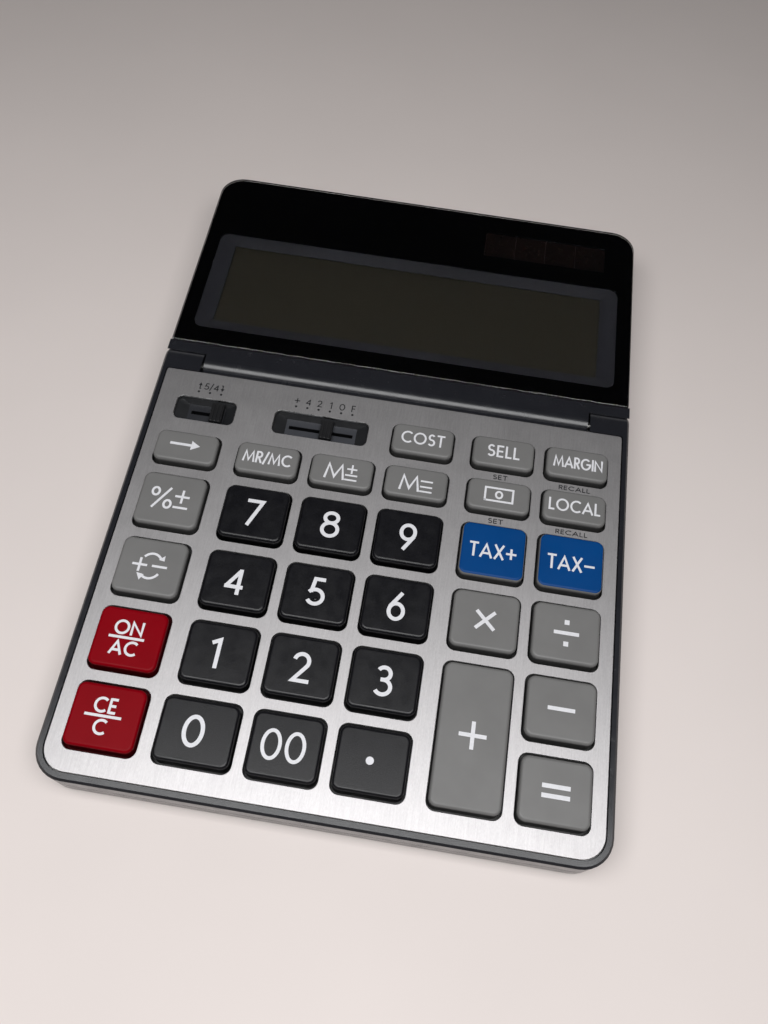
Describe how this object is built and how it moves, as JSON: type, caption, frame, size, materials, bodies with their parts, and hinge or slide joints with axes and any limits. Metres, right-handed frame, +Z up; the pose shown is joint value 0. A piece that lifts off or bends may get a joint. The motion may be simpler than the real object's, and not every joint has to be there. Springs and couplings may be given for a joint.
{
  "type": "desktop calculator",
  "caption": "Desktop calculator with a wedge body, a keyboard under a brushed plate, two slide switches and a glossy display that tilts on a hinge",
  "frame": {"origin": "on the table under the middle of the calculator's outline", "axes": "+X to the user's right, +Y from the front edge of the keyboard to the far edge of the display, +Z up from the feet"},
  "size_m": [0.1426, 0.2058, 0.0206],
  "materials": {
    "charcoal_plastic": "satin moulded",
    "brushed_aluminium": "brushed along the keyboard",
    "zinc_steel": "zinc plated",
    "black_rubber": "matt",
    "mat_rubber": "matt",
    "circuit_board": "solder mask",
    "gloss_black_window": "polished",
    "lcd_frame_plastic": "satin",
    "lcd_glass": "dark, blank display",
    "solar_cell_film": "dark film",
    "switch_plastic": "satin",
    "black_key_plastic": "fine sparkle grain",
    "red_key_plastic": "fine grain",
    "blue_key_plastic": "fine grain",
    "grey_key_plastic": "fine grain"
  },
  "bodies": {
    "base": {"battery_door": "charcoal_plastic", "button_cell": "zinc_steel", "case_screw_front_left": "zinc_steel", "case_screw_front_right": "zinc_steel", "case_screw_rear_left": "zinc_steel", "case_screw_rear_right": "zinc_steel", "decimal_switch_frame": "switch_plastic", "faceplate": "brushed_aluminium", "hinge_pin_left": "zinc_steel", "hinge_pin_right": "zinc_steel", "key_mat": "mat_rubber", "lower_case": "charcoal_plastic", "main_board": "circuit_board", "rounding_switch_frame": "switch_plastic", "rubber_foot_front_left": "black_rubber", "rubber_foot_front_right": "black_rubber", "rubber_foot_rear_left": "black_rubber", "rubber_foot_rear_right": "black_rubber", "upper_case": "charcoal_plastic"},
    "display": {"display_housing": "charcoal_plastic", "display_back": "charcoal_plastic", "display_window": "gloss_black_window", "lcd_frame": "lcd_frame_plastic", "lcd_glass": "lcd_glass", "lcd_board": "circuit_board", "solar_cell": "solar_cell_film"},
    "key_0": {"key_0": "black_key_plastic"},
    "key_00": {"key_00": "black_key_plastic"},
    "key_1": {"key_1": "black_key_plastic"},
    "key_2": {"key_2": "black_key_plastic"},
    "key_3": {"key_3": "black_key_plastic"},
    "key_4": {"key_4": "black_key_plastic"},
    "key_5": {"key_5": "black_key_plastic"},
    "key_6": {"key_6": "black_key_plastic"},
    "key_7": {"key_7": "black_key_plastic"},
    "key_8": {"key_8": "black_key_plastic"},
    "key_9": {"key_9": "black_key_plastic"},
    "key_back": {"key_back": "grey_key_plastic"},
    "key_clear": {"key_clear": "red_key_plastic"},
    "key_cost": {"key_cost": "grey_key_plastic"},
    "key_currency": {"key_currency": "grey_key_plastic"},
    "key_divide": {"key_divide": "grey_key_plastic"},
    "key_equals": {"key_equals": "grey_key_plastic"},
    "key_local": {"key_local": "grey_key_plastic"},
    "key_margin": {"key_margin": "grey_key_plastic"},
    "key_memory_add": {"key_memory_add": "grey_key_plastic"},
    "key_memory_recall": {"key_memory_recall": "grey_key_plastic"},
    "key_memory_take": {"key_memory_take": "grey_key_plastic"},
    "key_minus": {"key_minus": "grey_key_plastic"},
    "key_on": {"key_on": "red_key_plastic"},
    "key_percent": {"key_percent": "grey_key_plastic"},
    "key_plus": {"key_plus": "grey_key_plastic"},
    "key_point": {"key_point": "black_key_plastic"},
    "key_sell": {"key_sell": "grey_key_plastic"},
    "key_sign": {"key_sign": "grey_key_plastic"},
    "key_tax_add": {"key_tax_add": "blue_key_plastic"},
    "key_tax_take": {"key_tax_take": "blue_key_plastic"},
    "key_times": {"key_times": "grey_key_plastic"},
    "rounding_switch_knob": {"rounding_switch_knob": "switch_plastic"},
    "decimal_switch_knob": {"decimal_switch_knob": "switch_plastic"}
  },
  "joints": [
    {"name": "display_tilt", "type": "hinge", "parent": "base", "child": "display", "pos_m": [0, 0.02451, 0.0145], "axis": [1, 0, 0], "range_deg": [0, 40]},
    {"name": "rounding_switch_slide", "type": "slide", "parent": "base", "child": "rounding_switch_knob", "axis": [1, 0, 0], "range_m": [-0.0068, 0]},
    {"name": "decimal_switch_slide", "type": "slide", "parent": "base", "child": "decimal_switch_knob", "axis": [1, 0, 0], "range_m": [-0.0102, 0.0068]},
    {"name": "key_0_press", "type": "slide", "parent": "base", "child": "key_0", "axis": [0, 0.0384, -0.9993], "range_m": [0, 0.0016], "stiffness_N_per_m": 300},
    {"name": "key_00_press", "type": "slide", "parent": "base", "child": "key_00", "axis": [0, 0.0384, -0.9993], "range_m": [0, 0.0016], "stiffness_N_per_m": 300},
    {"name": "key_1_press", "type": "slide", "parent": "base", "child": "key_1", "axis": [0, 0.0384, -0.9993], "range_m": [0, 0.0016], "stiffness_N_per_m": 300},
    {"name": "key_2_press", "type": "slide", "parent": "base", "child": "key_2", "axis": [0, 0.0384, -0.9993], "range_m": [0, 0.0016], "stiffness_N_per_m": 300},
    {"name": "key_3_press", "type": "slide", "parent": "base", "child": "key_3", "axis": [0, 0.0384, -0.9993], "range_m": [0, 0.0016], "stiffness_N_per_m": 300},
    {"name": "key_4_press", "type": "slide", "parent": "base", "child": "key_4", "axis": [0, 0.0384, -0.9993], "range_m": [0, 0.0016], "stiffness_N_per_m": 300},
    {"name": "key_5_press", "type": "slide", "parent": "base", "child": "key_5", "axis": [0, 0.0384, -0.9993], "range_m": [0, 0.0016], "stiffness_N_per_m": 300},
    {"name": "key_6_press", "type": "slide", "parent": "base", "child": "key_6", "axis": [0, 0.0384, -0.9993], "range_m": [0, 0.0016], "stiffness_N_per_m": 300},
    {"name": "key_7_press", "type": "slide", "parent": "base", "child": "key_7", "axis": [0, 0.0384, -0.9993], "range_m": [0, 0.0016], "stiffness_N_per_m": 300},
    {"name": "key_8_press", "type": "slide", "parent": "base", "child": "key_8", "axis": [0, 0.0384, -0.9993], "range_m": [0, 0.0016], "stiffness_N_per_m": 300},
    {"name": "key_9_press", "type": "slide", "parent": "base", "child": "key_9", "axis": [0, 0.0384, -0.9993], "range_m": [0, 0.0016], "stiffness_N_per_m": 300},
    {"name": "key_back_press", "type": "slide", "parent": "base", "child": "key_back", "axis": [0, 0.0384, -0.9993], "range_m": [0, 0.0016], "stiffness_N_per_m": 300},
    {"name": "key_clear_press", "type": "slide", "parent": "base", "child": "key_clear", "axis": [0, 0.0384, -0.9993], "range_m": [0, 0.0016], "stiffness_N_per_m": 300},
    {"name": "key_cost_press", "type": "slide", "parent": "base", "child": "key_cost", "axis": [0, 0.0384, -0.9993], "range_m": [0, 0.0016], "stiffness_N_per_m": 300},
    {"name": "key_currency_press", "type": "slide", "parent": "base", "child": "key_currency", "axis": [0, 0.0384, -0.9993], "range_m": [0, 0.0016], "stiffness_N_per_m": 300},
    {"name": "key_divide_press", "type": "slide", "parent": "base", "child": "key_divide", "axis": [0, 0.0384, -0.9993], "range_m": [0, 0.0016], "stiffness_N_per_m": 300},
    {"name": "key_equals_press", "type": "slide", "parent": "base", "child": "key_equals", "axis": [0, 0.0384, -0.9993], "range_m": [0, 0.0016], "stiffness_N_per_m": 300},
    {"name": "key_local_press", "type": "slide", "parent": "base", "child": "key_local", "axis": [0, 0.0384, -0.9993], "range_m": [0, 0.0016], "stiffness_N_per_m": 300},
    {"name": "key_margin_press", "type": "slide", "parent": "base", "child": "key_margin", "axis": [0, 0.0384, -0.9993], "range_m": [0, 0.0016], "stiffness_N_per_m": 300},
    {"name": "key_memory_add_press", "type": "slide", "parent": "base", "child": "key_memory_add", "axis": [0, 0.0384, -0.9993], "range_m": [0, 0.0016], "stiffness_N_per_m": 300},
    {"name": "key_memory_recall_press", "type": "slide", "parent": "base", "child": "key_memory_recall", "axis": [0, 0.0384, -0.9993], "range_m": [0, 0.0016], "stiffness_N_per_m": 300},
    {"name": "key_memory_take_press", "type": "slide", "parent": "base", "child": "key_memory_take", "axis": [0, 0.0384, -0.9993], "range_m": [0, 0.0016], "stiffness_N_per_m": 300},
    {"name": "key_minus_press", "type": "slide", "parent": "base", "child": "key_minus", "axis": [0, 0.0384, -0.9993], "range_m": [0, 0.0016], "stiffness_N_per_m": 300},
    {"name": "key_on_press", "type": "slide", "parent": "base", "child": "key_on", "axis": [0, 0.0384, -0.9993], "range_m": [0, 0.0016], "stiffness_N_per_m": 300},
    {"name": "key_percent_press", "type": "slide", "parent": "base", "child": "key_percent", "axis": [0, 0.0384, -0.9993], "range_m": [0, 0.0016], "stiffness_N_per_m": 300},
    {"name": "key_plus_press", "type": "slide", "parent": "base", "child": "key_plus", "axis": [0, 0.0384, -0.9993], "range_m": [0, 0.0016], "stiffness_N_per_m": 300},
    {"name": "key_point_press", "type": "slide", "parent": "base", "child": "key_point", "axis": [0, 0.0384, -0.9993], "range_m": [0, 0.0016], "stiffness_N_per_m": 300},
    {"name": "key_sell_press", "type": "slide", "parent": "base", "child": "key_sell", "axis": [0, 0.0384, -0.9993], "range_m": [0, 0.0016], "stiffness_N_per_m": 300},
    {"name": "key_sign_press", "type": "slide", "parent": "base", "child": "key_sign", "axis": [0, 0.0384, -0.9993], "range_m": [0, 0.0016], "stiffness_N_per_m": 300},
    {"name": "key_tax_add_press", "type": "slide", "parent": "base", "child": "key_tax_add", "axis": [0, 0.0384, -0.9993], "range_m": [0, 0.0016], "stiffness_N_per_m": 300},
    {"name": "key_tax_take_press", "type": "slide", "parent": "base", "child": "key_tax_take", "axis": [0, 0.0384, -0.9993], "range_m": [0, 0.0016], "stiffness_N_per_m": 300},
    {"name": "key_times_press", "type": "slide", "parent": "base", "child": "key_times", "axis": [0, 0.0384, -0.9993], "range_m": [0, 0.0016], "stiffness_N_per_m": 300}
  ]
}
